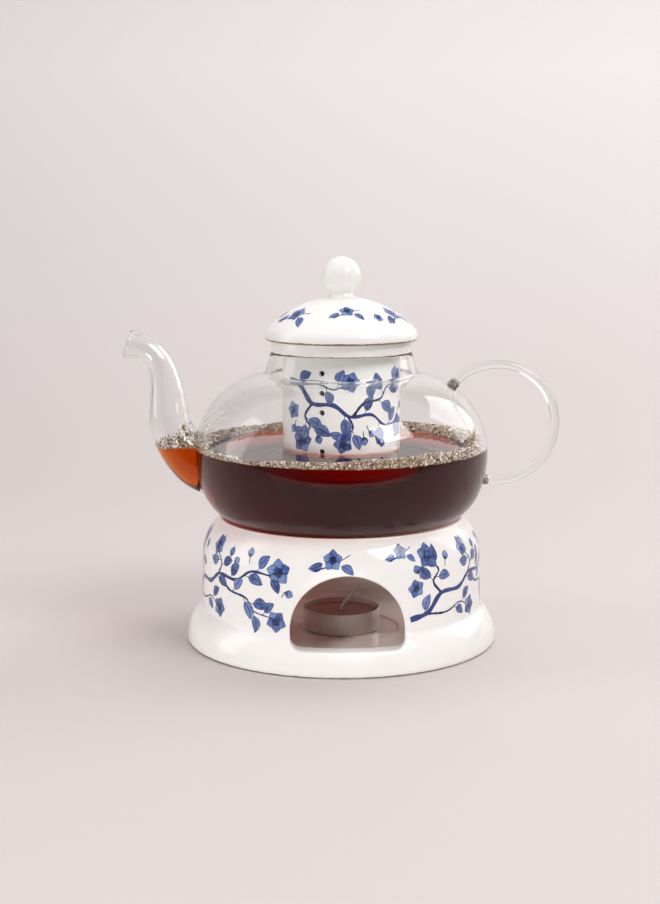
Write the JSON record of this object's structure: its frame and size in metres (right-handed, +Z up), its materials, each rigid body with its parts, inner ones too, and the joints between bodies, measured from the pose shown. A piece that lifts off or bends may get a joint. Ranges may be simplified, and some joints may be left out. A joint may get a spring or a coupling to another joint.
{
  "type": "glass teapot on a candle warmer",
  "caption": "Round glass teapot with a curved spout, rod handle, porcelain infuser and lid, standing on an arched porcelain warmer that holds a tealight.",
  "frame": {"origin": "centre of the warmer's foot, on the surface it stands on", "axes": "+Z up, +X from the spout towards the handle, -Y out of the front arch"},
  "size_m": [0.2127, 0.1524, 0.188],
  "materials": {
    "porcelain": "clear gloss glaze",
    "clear_glass": "polished",
    "aluminium_foil": "pressed foil",
    "wax": "matt wax",
    "wick_cotton": "waxed cotton"
  },
  "bodies": {
    "warmer": {"warmer": "porcelain"},
    "pot": {"pot_body": "clear_glass", "spout": "clear_glass", "handle": "clear_glass"},
    "infuser": {"infuser": "porcelain"},
    "lid": {"lid": "porcelain", "lid_knob": "porcelain"},
    "tealight": {"tealight_cup": "aluminium_foil", "wick_sustainer": "aluminium_foil", "tealight_wax": "wax", "tealight_wick": "wick_cotton"}
  },
  "joints": [
    {"name": "pot_lift", "type": "slide", "parent": "warmer", "child": "pot", "axis": [0, 0, 1], "range_m": [0, 0.1]},
    {"name": "infuser_lift", "type": "slide", "parent": "pot", "child": "infuser", "axis": [0, 0, 1], "range_m": [0, 0.085]},
    {"name": "lid_lift", "type": "slide", "parent": "infuser", "child": "lid", "axis": [0, 0, 1], "range_m": [0, 0.05]},
    {"name": "tealight_draw", "type": "slide", "parent": "warmer", "child": "tealight", "axis": [0.0394, -0.9808, 0.1908], "range_m": [0, 0.108]}
  ]
}
